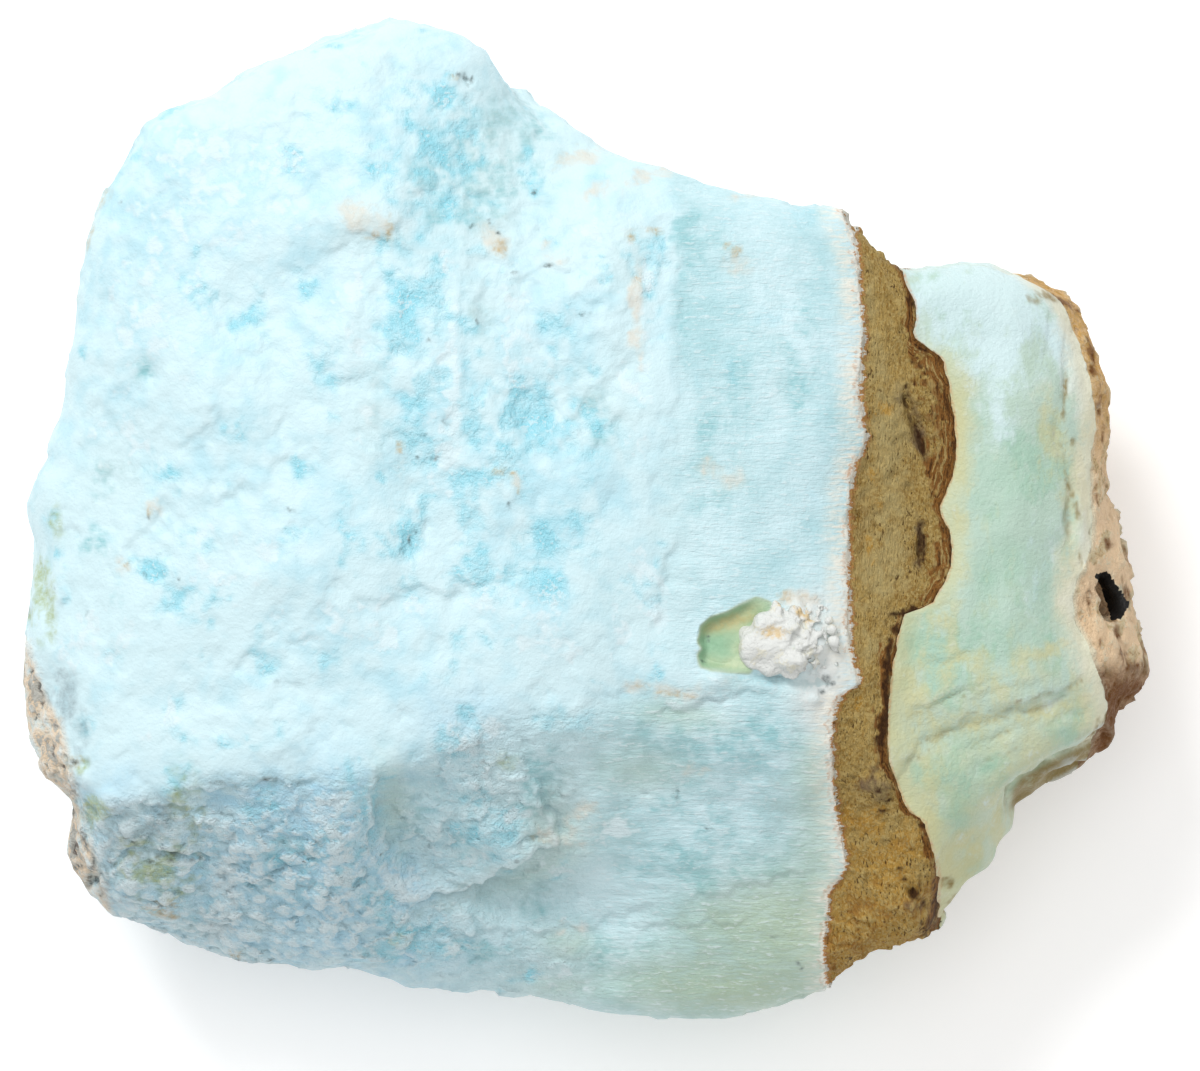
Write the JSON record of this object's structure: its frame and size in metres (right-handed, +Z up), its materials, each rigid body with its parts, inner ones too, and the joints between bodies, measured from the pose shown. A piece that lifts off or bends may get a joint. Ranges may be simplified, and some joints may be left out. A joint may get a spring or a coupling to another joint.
{
  "type": "rough banded blue calcite chunk",
  "caption": "Rough natural chunk of pale blue calcite crossed by a brown band with a green calcite layer and tan crust beyond it; lies flat as a display or set-dressing stone.",
  "frame": {"origin": "centre of the footprint's bounding box, on the resting face", "axes": "+X along the stone's longest extent, from the blue mass across the brown band to the green layer; +Y along the band towards the stone's upper edge; +Z up, out of the broad face"},
  "size_m": [0.113, 0.1006, 0.042],
  "materials": {
    "blue_calcite": "rough, faintly waxy broken crystal",
    "brown_band": "matt, granular and pitted",
    "green_calcite": "smooth, waxy",
    "tan_crust": "matt, crusty",
    "white_nodule": "sugary, matt"
  },
  "bodies": {
    "root": {"calcite_stone": "blue_calcite"}
  },
  "joints": []
}
